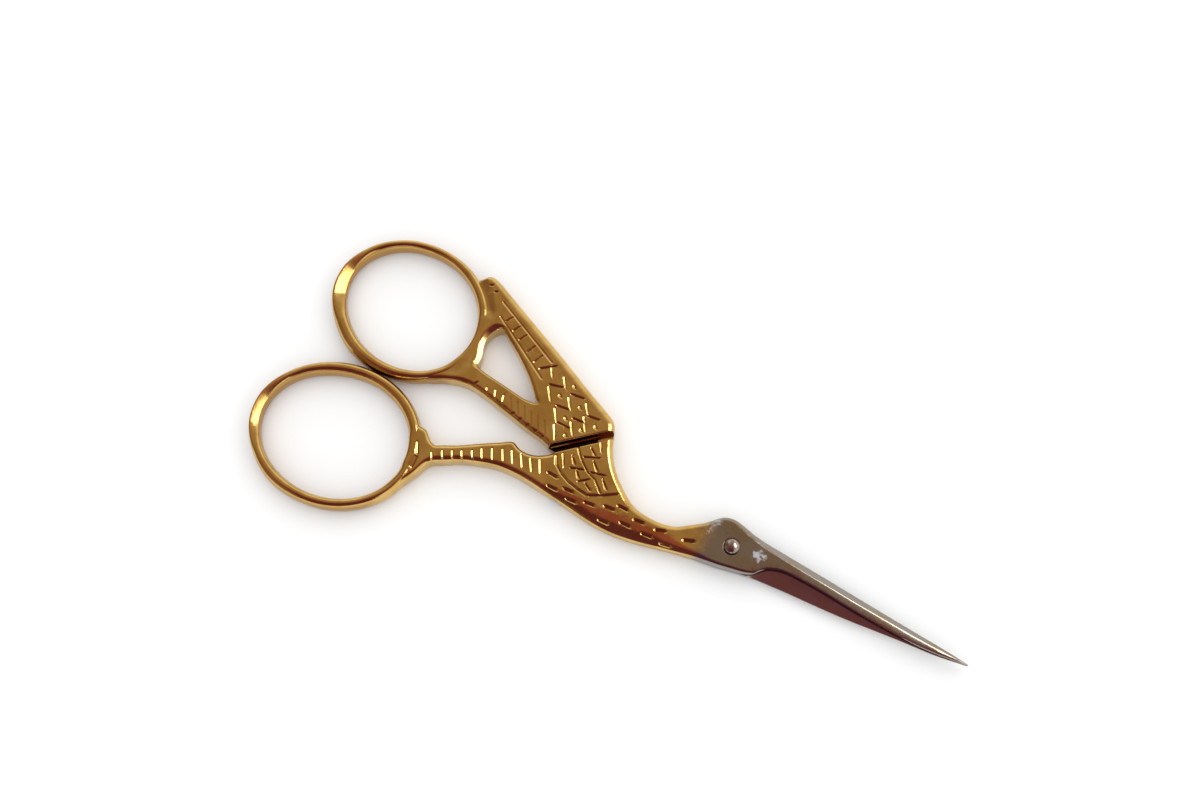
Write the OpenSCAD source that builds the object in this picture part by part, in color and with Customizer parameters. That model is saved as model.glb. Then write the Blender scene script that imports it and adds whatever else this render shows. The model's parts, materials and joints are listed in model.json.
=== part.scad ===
// Stork embroidery scissors: two forged halves that turn on one staked screw.
// Lengths are in millimetres. The scissors lie flat and closed, with the tips
// towards +X, the back half's finger ring towards +Y and the bird's eye up.

/* [Body] */
// Length of the bird and its legs, from the pivot to the ring collars
bird_l = 48; // [44:0.5:54]
// Thickness of the legs, the wing and the breast
body_t = 3.6; // [3.2:0.1:4.2]
// Thickness of the two heads together
head_t = 2.8; // [2.6:0.1:3.2]
// Radius of the rounded edges
edge_r = 0.9; // [0.5:0.1:1.1]
// Gap between the two ground inner faces
layer_gap = 0.1; // [0.06:0.02:0.16]
// Gap between the halves where each steps from full to half thickness
step_gap = 1.3; // [0.9:0.1:1.6]

/* [Finger rings] */
// Length of the finger hole in the front half
front_hole_l = 23.8; // [21:0.2:27]
// Width of the finger hole in the front half
front_hole_w = 20; // [18:0.2:22]
// Length of the finger hole in the back half
back_hole_l = 22.2; // [20:0.2:26]
// Width of the finger hole in the back half
back_hole_w = 19.6; // [18:0.2:22]
// Width of the ring wire beside the collar
wire_w = 1.8; // [1.6:0.1:2.4]
// What the ring wire gains in width on the far side of the ring
wire_swell = 0.5; // [0:0.1:0.8]
// Height of the ring wire
wire_t = 3.2; // [2.6:0.1:3.4]
// Gap between the closed rings
ring_gap = 0.2; // [0.1:0.05:0.4]

/* [Blades] */
// Length of the blades, from the pivot to the tips
blade_l = 38.5; // [34:0.5:46]
// Width of the closed blades in front of the heads
blade_w = 5; // [4.4:0.1:5.6]
// Thickness of the two blades together at the tips
tip_t = 1.2; // [0.8:0.1:1.8]

/* [Pivot screw] */
// Diameter of the smooth shank that the back half turns on
shank_d = 2.6; // [2.2:0.1:3]
// Radial running clearance of the shank
running_fit = 0.03; // [0.02:0.01:0.06]
// Diameter of the thread in the front half
thread_d = 2; // [1.6:0.1:2.1]
// Radial clearance of the thread, the head and the staked dome
close_fit = 0.02; // [0.01:0.01:0.04]
// Diameter of the slotted head
screw_head_d = 4.4; // [3.8:0.1:4.8]
// Thickness of the slotted head
screw_head_t = 0.7; // [0.6:0.05:0.8]
// Depth of the head's seat in the back half
seat_depth = 0.5; // [0.4:0.05:0.6]
// Width of the screwdriver slot
slot_w = 0.6; // [0.4:0.1:0.8]
// Depth of the screwdriver slot
slot_depth = 0.35; // [0.2:0.05:0.45]
// Diameter of the staked dome, the bird's eye
dome_d = 2.7; // [2.5:0.1:3]
// Height of the staked dome
dome_h = 0.8; // [0.5:0.05:1]

/* [Hidden] */

// Steps between two stations of an outline, and steps round an edge and a ring
station_steps = 2;
edge_steps = 3;
ring_steps = 56;
wire_steps = 14;
round_fn = 64;
// How far a cutting block reaches past what it cuts: past a face, and past an end
past = 5;
far = bird_l + blade_l;

mid_z = body_t / 2;
// The wing stands full; legs and lower layers lie a little inside its faces
leg_set = 0.06;
breast_set = 0.12;

// The outlines are drawn in their own place, with the pivot at drawn_pivot, for the
// lengths and the width below, and stretch away from the pivot with them
drawn_pivot = [0.3, -0.5];
drawn_bird_l = 48;
drawn_tip_x = 38.8;
drawn_blade_w = 5;
function bird_x(x) = (x - drawn_pivot[0]) * bird_l / drawn_bird_l;
function bird_y(y) = y - drawn_pivot[1];
function blade_x(x) = (x - drawn_pivot[0]) * blade_l / (drawn_tip_x - drawn_pivot[0]);
function blade_y(y) = (y - drawn_pivot[1]) * blade_w / drawn_blade_w;

// Half the thickness of both layers together: body, then a taper down the neck,
// the flat head round the pivot, and a taper along the blades
neck_start = -20;
neck_end = -7;
head_end = 3;
function ease(t) = t <= 0 ? 0 : t >= 1 ? 1 : t * t * (3 - 2 * t);
function half_t(x, inset) =
    x < head_end
    ? (body_t / 2 - inset) * (1 - ease((x - neck_start) / (neck_end - neck_start)))
      + head_t / 2 * ease((x - neck_start) / (neck_end - neck_start))
    : head_t / 2 + (tip_t - head_t) / 2 * (x - head_end) / (drawn_tip_x - head_end);

// The outlines run round the rounded edges as they look from above and one side, which is
// this much outside the true edges
outline_trim = 0.25;

// A station is one cross-section of a half. It holds the lower and the upper point of
// the outline, the half thickness, the width and height of the lower and of the upper
// edge, and how flat those edges are: 0 is round and 1 is a ground bevel.
function body_station(p, inset = 0) =
    let (low = [bird_x(p[0]), bird_y(p[1])])
    let (up = [bird_x(p[2]), bird_y(p[3])])
    let (trim = outline_trim * (up - low) / norm(up - low))
    [each (low + trim), each (up - trim), half_t(p[0], inset), edge_r, edge_r, edge_r, edge_r, 0];

// Blade sections are ground: a broad flat from the ridge down to the cutting edge and a
// narrow one from the ridge down to the spine
edge_land = 0.25;
// Length over which the rounded head turns into the ground blade
grind_run = 4;
// Shares of a blade's width on the spine's side and on the cutting side of the ridge, and
// of its thickness that each side falls by
spine_share = 0.36;
cut_share = 0.6;
spine_fall = 0.45;
cut_fall = 0.6;
function blade_station(p) =
    let (h = half_t(p[0], 0))
    let (w = abs(p[2] - p[1]))
    let (ground = ease((p[0] - head_end) / grind_run))
    let (rounded = edge_r * (1 - ground))
    [
        blade_x(p[0]), blade_y(p[1]), blade_x(p[0]), blade_y(p[2]), h,
        rounded + cut_share * w * ground, rounded + (h - edge_land) * cut_fall * ground,
        rounded + spine_share * w * ground, rounded + spine_fall * h * ground, ground
    ];

// A smooth curve through the stations
function curve_at(a, b, c, d, t) =
    (2 * b + (c - a) * t + (2 * a - 5 * b + 4 * c - d) * t * t + (3 * b - a - 3 * c + d) * t * t * t) / 2;
function smooth(rows) = [
    for (i = [0 : len(rows) - 2], k = [0 : station_steps - 1])
        curve_at(rows[max(i - 1, 0)], rows[i], rows[i + 1], rows[min(i + 2, len(rows) - 1)],
                 k / station_steps),
    rows[len(rows) - 1]
];

// One edge of a section: a quarter turn, or a bevel, inside the corner at s along the
// section and z up. The signs sx and sz say which of the four corners it is.
function edge(s, z, sx, sz, w, h, flat) = [
    for (k = [0 : edge_steps])
        let (q = k / edge_steps)
        let (turn = sx * sz > 0 ? q * 90 : 90 - q * 90)
        let (round_s = w * (1 - cos(turn)))
        let (round_z = h * (1 - sin(turn)))
        let (t = sx * sz > 0 ? q : 1 - q)
        [s - sx * (round_s * (1 - flat) + w * t * flat),
         z - sz * (round_z * (1 - flat) + h * (1 - t) * flat)]
];
// The largest share of a section's width and of its half height that an edge may take
width_share = 0.45;
height_share = 0.9;
function section(r) =
    let (low = [r[0], r[1]])
    let (up = [r[2], r[3]])
    let (w = norm(up - low))
    let (dir = (up - low) / w)
    let (h = r[4])
    let (wl = min(r[5], width_share * w))
    let (hl = min(r[6], height_share * h))
    let (wu = min(r[7], width_share * w))
    let (hu = min(r[8], height_share * h))
    let (outline = concat(
        edge(0, -h, -1, -1, wl, hl, r[9]),
        edge(w, -h, 1, -1, wu, hu, r[9]),
        edge(w, h, 1, 1, wu, hu, r[9]),
        edge(0, h, -1, 1, wl, hl, r[9])))
    [for (p = outline) [low[0] + dir[0] * p[0], low[1] + dir[1] * p[0], mid_z + p[1]]];

function centre_of(points) = [for (p = points) 1] * points / len(points);

// A closed skin over cross-sections that run anticlockwise about the way they travel
module skin(sections, ring = false) {
    n = len(sections[0]);
    m = len(sections);
    sides = [
        for (i = [0 : m - (ring ? 1 : 2)], j = [0 : n - 1])
            let (a = i * n + j)
            let (b = i * n + (j + 1) % n)
            let (c = ((i + 1) % m) * n + (j + 1) % n)
            let (d = ((i + 1) % m) * n + j)
            each [[a, d, c], [a, c, b]]
    ];
    // Each end is closed with triangles about its centre: the points of a ground bevel lie in
    // one line, so a flat face fanned from one of them would hold empty triangles
    centres = ring ? [] : [centre_of(sections[0]), centre_of(sections[m - 1])];
    caps = ring ? [] : [
        for (j = [0 : n - 1])
            let (k = (j + 1) % n)
            each [[m * n, j, k], [m * n + 1, (m - 1) * n + k, (m - 1) * n + j]]
    ];
    polyhedron(concat([for (s = sections) each s], centres), concat(sides, caps), convexity = 8);
}
module limb(stations) {
    skin([for (r = smooth(stations)) section(r)]);
}

// Finger rings: an oval of wire, wider on the far side. It is laid outside the hole's
// own oval, so the hole keeps its size.
function reach_x(l, w, tilt) = sqrt(pow(l / 2 * cos(tilt), 2) + pow(w / 2 * sin(tilt), 2));
function reach_y(l, w, tilt) = sqrt(pow(l / 2 * sin(tilt), 2) + pow(w / 2 * cos(tilt), 2));
function wire_at(turn) = wire_w + wire_swell * pow((1 - cos(turn)) / 2, 3);
// A quarter and a half turn round a ring, from its collar
quarter = 90;
half_turn = 180;
module finger_ring(hole_l, hole_w, tilt, centre) {
    skin([
        for (k = [0 : ring_steps - 1])
            let (turn = k * 360 / ring_steps)
            let (hole = [hole_l * cos(turn), hole_w * sin(turn)] / 2)
            let (way = [hole_w * cos(turn), hole_l * sin(turn)])
            let (out = way / norm(way) * wire_at(turn) / 2)
            [for (j = [0 : wire_steps - 1])
                let (v = j * 360 / wire_steps)
                let (q = hole + out * (1 + cos(v)))
                [centre[0] + q[0] * cos(tilt) - q[1] * sin(tilt),
                 centre[1] + q[0] * sin(tilt) + q[1] * cos(tilt),
                 mid_z - wire_t / 2 * sin(v)]]
    ], ring = true);
}
front_tilt = 6;
back_tilt = -14;
front_reach = [
    reach_x(front_hole_l, front_hole_w, front_tilt),
    reach_y(front_hole_l, front_hole_w, front_tilt)
];
back_reach = [
    reach_x(back_hole_l, back_hole_w, back_tilt),
    reach_y(back_hole_l, back_hole_w, back_tilt)
];

// The outlines, one row for each station: lower x and y, then upper x and y
front_leg = [
    [-49.5, -15.6, -50.3, -6.5], [-48.3, -13.9, -48.8, -6.5], [-46.9, -10.8, -47.5, -7.3],
    [-45, -9.5, -45, -5.8], [-42.4, -8.1, -42.4, -4.2], [-40, -7.2, -40, -2.75],
    [-37.2, -6.4, -37.7, -1.2], [-36, -6.2, -36.4, -1.25], [-34.4, -6.1, -34.6, -1.7],
    [-32.2, -6.15, -32.8, -1.4]
];
breast = [
    [-29.8, -6.35, -31, 0], [-27, -6.6, -29.2, 3.3], [-24.6, -6.8, -26.8, 5.6],
    [-22.4, -7.05, -24.2, 7.1], [-20.6, -7.3, -23.1, 5.3], [-19.2, -7.4, -21.6, 2.95],
    [-17.8, -7.45, -20, 1.25], [-16.4, -7.3, -18, -0.2], [-14.6, -7.1, -15.5, -1.5],
    [-12.4, -6.75, -12.5, -1.9], [-10, -6.2, -10, -1.75], [-7.5, -5.6, -7.5, -0.5],
    [-5, -5.05, -5, 1.25], [-3.2, -4.65, -3.4, 2.9], [-1.2, -4.25, -1.4, 3.75],
    [1, -3.8, 0.9, 3.5]
];
back_leg = [
    [-53.4, 2.3, -49.9, 10.2], [-51, 2.45, -48.6, 8.9], [-49, 3.3, -47.8, 7.4],
    [-46.5, 3.35, -46, 6.85], [-43, 2.7, -43, 6.45], [-39, 1.9, -39, 6.1], [-35, 1.1, -36, 6.6],
    [-31.8, 0.6, -33, 8], [-29.4, 0.9, -30, 7]
];
wing = [
    [-51.2, 15.2, -55.4, 20.6], [-49.6, 14.6, -53.8, 21.75], [-47.4, 14.3, -51.4, 21.2],
    [-44.4, 12.3, -46.8, 19.2], [-41.6, 10.3, -43, 17.5], [-38.8, 7.9, -38.4, 15.45],
    [-36, 5, -34, 13.4], [-33, 2.4, -30, 11.5], [-30, 1, -26.4, 9.8], [-27.6, 0.5, -24.7, 8.8],
    [-25.5, 0.2, -23.9, 6.9]
];
// Blade rows: x, then the y of the cutting edge and of the spine. The back blade's rows
// are drawn turned over, like the front blade's.
front_blade = [
    [3, -3.3, 2.9], [4.2, -2.6, 2.7], [5.2, -1.5, 2.55], [6, -0.65, 2.45], [7.2, -0.3, 2.35],
    [10, -0.25, 2.2], [15, -0.35, 1.85], [20, -0.65, 1.45], [25, -0.9, 1.08], [30, -0.95, 0.72],
    [35, -0.6, 0.38], [37.5, -0.25, 0.15], [38.8, -0.12, 0.02]
];
back_blade = [
    [3, -2.9, 3.4], [4.2, -2.1, 3.2], [5.2, -1, 3.05], [6, -0.15, 2.95], [7.2, 0.1, 2.8],
    [10, 0.05, 2.65], [15, 0, 2.4], [20, -0.1, 2.1], [25, -0.4, 1.6], [30, -0.6, 1.15],
    [35, -0.35, 0.7], [37.5, -0.1, 0.3], [38.8, 0, 0.15]
];

// How far past the upper point of its leg's first station each finger hole ends, and the
// line on which the closed rings meet
front_root = 0.2;
back_root = 1.5;
rings_meet = -1;
front_hole_x = bird_x(front_leg[0][2] - front_root);
back_hole_x = bird_x(back_leg[0][2] - back_root);
meet_y = bird_y(rings_meet);
wire_side = wire_at(quarter);
front_centre = [front_hole_x - front_reach[0], meet_y - ring_gap / 2 - wire_side - front_reach[1]];
back_centre = [back_hole_x - back_reach[0], meet_y + ring_gap / 2 + wire_side + back_reach[1]];

// The origin is under the middle of the closed scissors, on the surface that they lie on
front_low = front_centre[1] - front_reach[1] - wire_side;
back_high = back_centre[1] + back_reach[1] + wire_side;
far_end = min(front_centre[0] - front_reach[0], back_centre[0] - back_reach[0]) - wire_at(half_turn);
middle = [-(far_end + blade_l) / 2, -(front_low + back_high) / 2, 0];

// Where each half steps from full to half thickness: a line across the body, from the pivot
wing_step = [[-32.1, 1.1], [-25.1, 7.2]];
belly_step = [[-31.1, 0.3], [-27.4, -6.6]];
function on_bird(p) = [p[0] * bird_l / drawn_bird_l, p[1]];

// A station of the back blade: a front one turned over about the X axis
function turned(r) = [r[0], -r[3], r[2], -r[1], r[4], r[7], r[8], r[5], r[6], r[9]];

// A block on the right of the way from p to q and set off to that side, from z0 up to z1.
// It starts the distance back before p and ends the distance ahead past q.
module block_beside(way, set, z0, z1, back, ahead) {
    p = on_bird(way[0]);
    q = on_bird(way[1]);
    translate([p[0], p[1], z0])
        rotate([0, 0, atan2(q[1] - p[1], q[0] - p[0])])
            translate([-back, -far - set, 0])
                cube([back + norm(q - p) + ahead, far, z1 - z0]);
}
function reversed(way) = [way[1], way[0]];

under = mid_z - layer_gap / 2;
over = mid_z + layer_gap / 2;
head_top = mid_z + head_t / 2;
head_bottom = mid_z - head_t / 2;
seat_z = head_bottom + seat_depth;

module front_half() {
    color("goldenrod")
        translate(middle) difference() {
            union() {
                limb(concat(
                    [for (p = front_leg) body_station(p, leg_set)],
                    [for (p = breast) body_station(p, breast_set)],
                    [for (p = front_blade) blade_station(p)]));
                finger_ring(front_hole_l, front_hole_w, front_tilt, front_centre);
            }
            // The lower layer, where the back half's breast, neck, head and blade lie
            block_beside(reversed(belly_step), 0, -past, over, far, far);
            // The gap along the wing
            block_beside(reversed(wing_step), -step_gap, -past, body_t + past, far, 0);
            translate([0, 0, -past])
                cylinder(d = thread_d + 2 * close_fit, h = body_t + 2 * past, $fn = round_fn);
        }
}

module back_half() {
    color("darkgoldenrod")
        translate(middle) difference() {
            union() {
                difference() {
                    limb(concat(
                        [for (p = breast) body_station(p, breast_set)],
                        [for (p = back_blade) turned(blade_station(p))]));
                    // The gap along the front half's belly
                    block_beside(belly_step, -step_gap, -past, body_t + past, far, far);
                }
                limb([for (p = wing) body_station(p)]);
                limb([for (p = back_leg) body_station(p, leg_set)]);
                finger_ring(back_hole_l, back_hole_w, back_tilt, back_centre);
            }
            // The upper layer, where the front half's breast, neck, head and blade lie
            block_beside(wing_step, 0, under, body_t + past, far, far);
            // The running bore and the seat of the screw's head
            translate([0, 0, -past])
                cylinder(d = shank_d + 2 * running_fit, h = body_t + 2 * past, $fn = round_fn);
            translate([0, 0, -past])
                cylinder(d = screw_head_d + 2 * running_fit, h = past + seat_z, $fn = round_fn);
        }
}

module pivot_screw() {
    head_z = seat_z - close_fit - screw_head_t;
    shoulder_z = over - close_fit;
    dome_z = head_top + close_fit;
    cap_r = (dome_d * dome_d / 4 + dome_h * dome_h) / (2 * dome_h);
    cap_half = asin(dome_d / 2 / cap_r);
    cap_steps = 8;
    color("silver")
        translate(middle) difference() {
            union() {
                translate([0, 0, head_z])
                    cylinder(d = screw_head_d, h = screw_head_t, $fn = round_fn);
                translate([0, 0, head_z + screw_head_t / 2])
                    cylinder(d = shank_d, h = shoulder_z - head_z - screw_head_t / 2, $fn = round_fn);
                translate([0, 0, shoulder_z - layer_gap])
                    cylinder(d = thread_d, h = dome_z - shoulder_z + 2 * layer_gap, $fn = round_fn);
                translate([0, 0, dome_z])
                    rotate_extrude($fn = round_fn)
                        polygon(concat(
                            [[0, 0]],
                            [for (k = [0 : cap_steps - 1])
                                let (a = cap_half * (1 - k / cap_steps))
                                [cap_r * sin(a), cap_r * cos(a) - cap_r + dome_h]],
                            [[0, dome_h]]));
            }
            translate([-screw_head_d, -slot_w / 2, head_z - past])
                cube([2 * screw_head_d, slot_w, past + slot_depth]);
        }
}

front_half();
back_half();
pivot_screw();
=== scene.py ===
import json
import math

import bmesh
import bpy
import numpy as np
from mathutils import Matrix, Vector
from mathutils.geometry import delaunay_2d_cdt


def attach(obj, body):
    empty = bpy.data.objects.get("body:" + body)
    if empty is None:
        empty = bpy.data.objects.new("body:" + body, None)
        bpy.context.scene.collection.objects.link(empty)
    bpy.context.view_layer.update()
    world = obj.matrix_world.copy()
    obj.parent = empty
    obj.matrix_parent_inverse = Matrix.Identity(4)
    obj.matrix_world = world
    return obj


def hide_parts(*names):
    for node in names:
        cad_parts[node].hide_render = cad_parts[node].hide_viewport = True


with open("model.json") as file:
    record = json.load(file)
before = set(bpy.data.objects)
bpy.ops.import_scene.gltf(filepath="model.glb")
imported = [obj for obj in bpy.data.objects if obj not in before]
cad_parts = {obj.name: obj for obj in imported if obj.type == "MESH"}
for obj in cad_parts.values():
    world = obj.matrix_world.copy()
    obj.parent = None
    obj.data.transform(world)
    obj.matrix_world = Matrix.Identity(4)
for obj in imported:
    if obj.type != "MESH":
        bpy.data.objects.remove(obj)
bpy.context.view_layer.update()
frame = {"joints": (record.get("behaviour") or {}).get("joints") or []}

# Shapes are in millimetres from the pivot, with z from the middle of the thickness, until
# a mesh is made. The back half is made outer side up, like the front half, and turned over.
MM = 0.001
PIVOT = np.array(frame["joints"][0]["pos_m"]) / MM

# Half thicknesses as in the solids: body, heads, tips, and half the gap between the halves
BODY_H, HEAD_H, TIP_H, GAP = 1.8, 1.4, 0.6, 0.05
# How far the legs and the breast lie below the wing
LEG_SET, BREAST_SET = 0.06, 0.12
# Where the neck starts to thin, where the head starts and ends, and where the tips are
NECK_START, NECK_END, HEAD_END, TIP_X = -20.3, -7.3, 2.7, 38.5
# The lines where the halves step from full to half thickness, and the gap beside them
STEP_GAP = 1.3
WING_STEP = ((-32.1, 1.1), (-25.1, 7.2))
BELLY_STEP = ((-31.1, 0.3), (-27.4, -6.6))
# The back half's bore and screw seat, and the front half's threaded hole
BORE_R, SEAT_R, SEAT_FLOOR, THREAD_R = 1.33, 2.23, 0.9, 1.02

# Finger rings: the middle of the hole, its half length and half width, its turn in degrees,
# and half the height of the wire
FRONT_RING = ((-62.681, -12.485), 11.9, 10.0, 6.0)
BACK_RING = ((-62.728, 11.343), 11.1, 9.8, -14.0)
RING_H = 1.6


def rise(v, start, end):
    """0 before start and 1 after end, with a soft step between."""
    t = np.clip((v - start) / (end - start), 0, 1)
    return t * t * (3 - 2 * t)


# Outlines

# Distance between the points of an outline
SPACING = 0.3


def curve(points):
    """A natural cubic spline through the points, sampled at about the spacing."""
    p = np.array(points, float)
    t = np.r_[0, np.cumsum(np.linalg.norm(np.diff(p, axis=0), axis=1))]
    s = np.linspace(0, t[-1], max(2, math.ceil(t[-1] / SPACING) + 1))
    n, h = len(p), np.diff(t)
    a, r = np.eye(n), np.zeros((n, 2))
    for i in range(1, n - 1):
        a[i, i - 1 : i + 2] = h[i - 1], 2 * (h[i - 1] + h[i]), h[i]
        r[i] = 6 * ((p[i + 1] - p[i]) / h[i] - (p[i] - p[i - 1]) / h[i - 1])
    m = np.linalg.solve(a, r)
    k = np.clip(np.searchsorted(t, s, side="right") - 1, 0, n - 2)
    w = h[k][:, None]
    u = ((t[k + 1] - s) / h[k])[:, None]
    v = 1 - u
    return u * p[k] + v * p[k + 1] + ((u**3 - u) * m[k] + (v**3 - v) * m[k + 1]) * w * w / 6


def side_of(p, line):
    """How far each point is to the left of a line, times the line's length."""
    (ax, ay), (bx, by) = line
    return (bx - ax) * (p[:, 1] - ay) - (by - ay) * (p[:, 0] - ax)


def shifted(line, by):
    """The line moved that far to its right."""
    a, b = np.array(line[0]), np.array(line[1])
    d = (b - a) / np.linalg.norm(b - a)
    off = np.array((d[1], -d[0])) * by
    return a + off, b + off


def cut(c, line, keep):
    """The part of a curve before, or after, it first crosses a line."""
    s = side_of(c, line)
    i = int(np.argmax(s[:-1] * s[1:] <= 0))
    x = c[i] + (c[i + 1] - c[i]) * s[i] / (s[i] - s[i + 1])
    return np.vstack([c[: i + 1], x]) if keep == "before" else np.vstack([x, c[i + 1 :]])


def edged(c, rows):
    """Adds an edge's width, height and flatness to a curve, from rows of x and those three."""
    r = np.array(sorted(rows), float)
    return np.column_stack([c] + [np.interp(c[:, 0], r[:, 0], r[:, k]) for k in (1, 2, 3)])


def joined(*runs):
    """One closed loop of runs that follow each other, and the row at which each run starts."""
    rows, starts = [], []
    for r in runs:
        starts.append(sum(len(q) for q in rows))
        if rows:
            rows[-1][-1] = (rows[-1][-1] + r[0]) / 2
            starts[-1] -= 1
            r = r[1:]
        rows.append(r.copy())
    rows[0][0] = (rows[0][0] + rows[-1][-1]) / 2
    rows[-1] = rows[-1][:-1]
    return np.vstack(rows), starts


# Edges, as rows of x, width, height and flatness
SHARP = [(0, 0.22, 0.22, 0)]
INSIDE = [(0, 0.3, 0.3, 0)]
ARM = [(0, 0.9, 0.8, 0)]
LOWER = [
    (-47, 0.9, 0.85, 0), (-30, 1, 0.95, 0), (-24, 2.6, 1.1, 0), (-17, 3.6, 1.15, 0),
    (-10, 2.7, 1, 0), (-6, 1.3, 0.75, 0), (-2, 0.6, 0.55, 0), (2, 0.5, 0.45, 0),
]
UPPER = [
    (-25, 1, 0.9, 0), (-23, 1.15, 0.9, 0), (-15, 1.2, 0.9, 0), (-7, 1, 0.8, 0),
    (-3, 0.8, 0.6, 0), (2, 0.9, 0.6, 0.2),
]
WING_EDGE = [
    (-56, 0.8, 0.8, 0), (-51, 1.1, 0.8, 0.2), (-47, 1.3, 0.65, 0.2), (-25, 1.3, 0.65, 0.2),
]
LEG_EDGE = [(0, 0.9, 0.85, 0)]
HOLE_EDGE = [(0, 0.6, 0.8, 0)]
COLLAR_EDGE = [(0, 1.05, 0.45, 1)]
# The facets of a blade: a broad one towards the spine, and a narrow one along the cutting edge
SPINE_EDGE = [
    (2, 0.9, 0.55, 0.2), (6, 1, 0.55, 0.8), (10, 1.05, 0.55, 1), (20, 1.05, 0.45, 1),
    (30, 0.85, 0.35, 1), (35, 0.55, 0.28, 1), (38.5, 0.07, 0.2, 1),
]
CUT_EDGE = [
    (2, 0.5, 0.45, 0), (4.5, 0.35, 0.25, 0.3), (6, 0.3, 0.1, 0.5), (10, 0.25, 0.05, 1),
    (20, 0.2, 0.04, 1),
    (26, 0.25, 0.03, 1), (30, 0.3, 0.025, 1), (35, 0.25, 0.02, 1), (38.5, 0.1, 0.02, 1),
]

belly = curve([
    (-30.28, -5.6), (-27.68, -5.85), (-25.27, -6.1), (-20.28, -6.65), (-18, -6.68), (-15.33, -6.44),
    (-13.05, -6.05), (-10.36, -5.41), (-7.15, -4.67), (-5.34, -4.28), (-3.03, -3.88), (-0.34, -3.49),
    (1.3, -3.15),
])
neck = curve([
    (2.1, 3.38), (0.8, 3.72), (-0.34, 3.98), (-1.31, 4.1), (-2.24, 3.98), (-3.27, 3.5), (-4.14, 2.65),
    (-5.3, 1.5), (-6.97, 0.3), (-8.7, -0.9), (-10.26, -1.45), (-12.8, -1.68), (-15.34, -1.36),
    (-16.88, -0.74), (-18.38, 0.29), (-20.2, 1.75), (-21.84, 3.55), (-23.2, 5.8), (-24.1, 7.9),
])
front_heel = curve([
    (1.3, -3.15), (2.2, -2.98), (3.2, -2.74), (4.2, -2.38), (4.9, -1.95), (5.4, -1.35), (5.95, -0.78),
    (6.8, -0.28), (8, 0.12), (9.7, 0.32), (12, 0.3), (14.7, 0.2), (19.7, -0.17), (24.7, -0.4),
    (29.7, -0.45), (34.7, -0.1), (37.2, 0.25), (TIP_X, 0.4),
])
front_spine = curve([
    (TIP_X, 0.5), (37.2, 0.65), (34.7, 0.88), (29.7, 1.22), (24.7, 1.58), (19.7, 1.95), (14.7, 2.33),
    (9.7, 2.68), (6.5, 2.9), (4, 3.1), (2.1, 3.38),
])
back_spine = curve([
    (1.3, -3.15), (2.9, -2.85), (4.7, -2.52), (7, -2.3), (9.7, -2.12), (14.7, -1.88), (19.7, -1.58),
    (24.7, -1.1), (29.7, -0.65), (34.7, -0.2), (37.2, 0.2), (TIP_X, 0.38),
])
back_heel = curve([
    (TIP_X, 0.5), (37.2, 0.62), (34.7, 0.85), (29.7, 1.1), (24.7, 0.9), (19.7, 0.6), (14.7, 0.5),
    (9.7, 0.45), (7.3, 0.48), (6.1, 0.65), (5.3, 1.15), (4.5, 2.1), (3.4, 2.9), (2.1, 3.38),
])
front_leg_low = curve([
    (-51.9, -17.9), (-50.7, -17.1), (-49.5, -15.7), (-48.75, -14.2), (-48.2, -13), (-47.75, -11.9),
    (-47.35, -10.7), (-46.7, -9.65), (-45.44, -8.85), (-42.83, -7.38), (-40.4, -6.42), (-37.76, -5.62),
    (-35.31, -5.33), (-32.29, -5.4), (-30.28, -5.6),
])
front_leg_up = curve([
    (-30.84, 0.35), (-31.5, -0.2), (-32.4, -0.8), (-33.73, -1.32), (-35.21, -1.42), (-36.2, -1.15),
    (-36.8, -0.85), (-37.3, -0.85), (-38.2, -1.35), (-40.14, -2.55), (-42.6, -4.1), (-45.15, -5.66),
    (-46.5, -6.35), (-47.5, -6.9),
])
front_arm_up = curve([
    (-47.5, -6.9), (-48.2, -6.75), (-49.2, -6.05), (-50.2, -5.35), (-50.9, -5.3), (-51.9, -5.1),
    (-53.2, -5.2),
])
back_leg_low = curve([
    (-57.2, 1.4), (-56.2, 1.2), (-54.8, 1.6), (-53.45, 2.15), (-51.9, 3), (-50.9, 3.4), (-50.2, 3.65),
    (-48.8, 3.95), (-47.6, 4.05), (-45.3, 3.78), (-40.25, 2.78), (-35.26, 1.83), (-32.6, 1.3),
    (-31.4, 0.8),
])
wing_edge = curve([
    (-24.1, 7.9), (-24.35, 8.55), (-24.85, 9.2), (-26.1, 9.95), (-30.38, 11.85), (-35.38, 14.22),
    (-40.38, 16.5), (-45.38, 18.73), (-50, 20.84), (-51.66, 21.6), (-53.05, 22.05), (-54, 21.95),
    (-54.7, 21.3), (-55.6, 20.6), (-56.6, 19.8),
])
hypotenuse = curve([
    (-48.3, 14.55), (-47.7, 14.85), (-47, 14.5), (-44.62, 12.92), (-41.82, 10.95), (-39.03, 8.6),
    (-37.55, 7.05),
])
triangle_foot = curve([
    (-37.55, 7.05), (-37, 6.5), (-37.7, 6.25), (-40.32, 6.3), (-45.33, 6.95), (-47.5, 7.3), (-48.3, 7.55),
])
triangle_side = curve([
    (-48.3, 7.55), (-48.35, 8.3), (-48.4, 9), (-48.7, 10), (-49.1, 11.2), (-49.2, 12.6), (-48.9, 13.7),
    (-48.3, 14.55),
])


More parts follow.
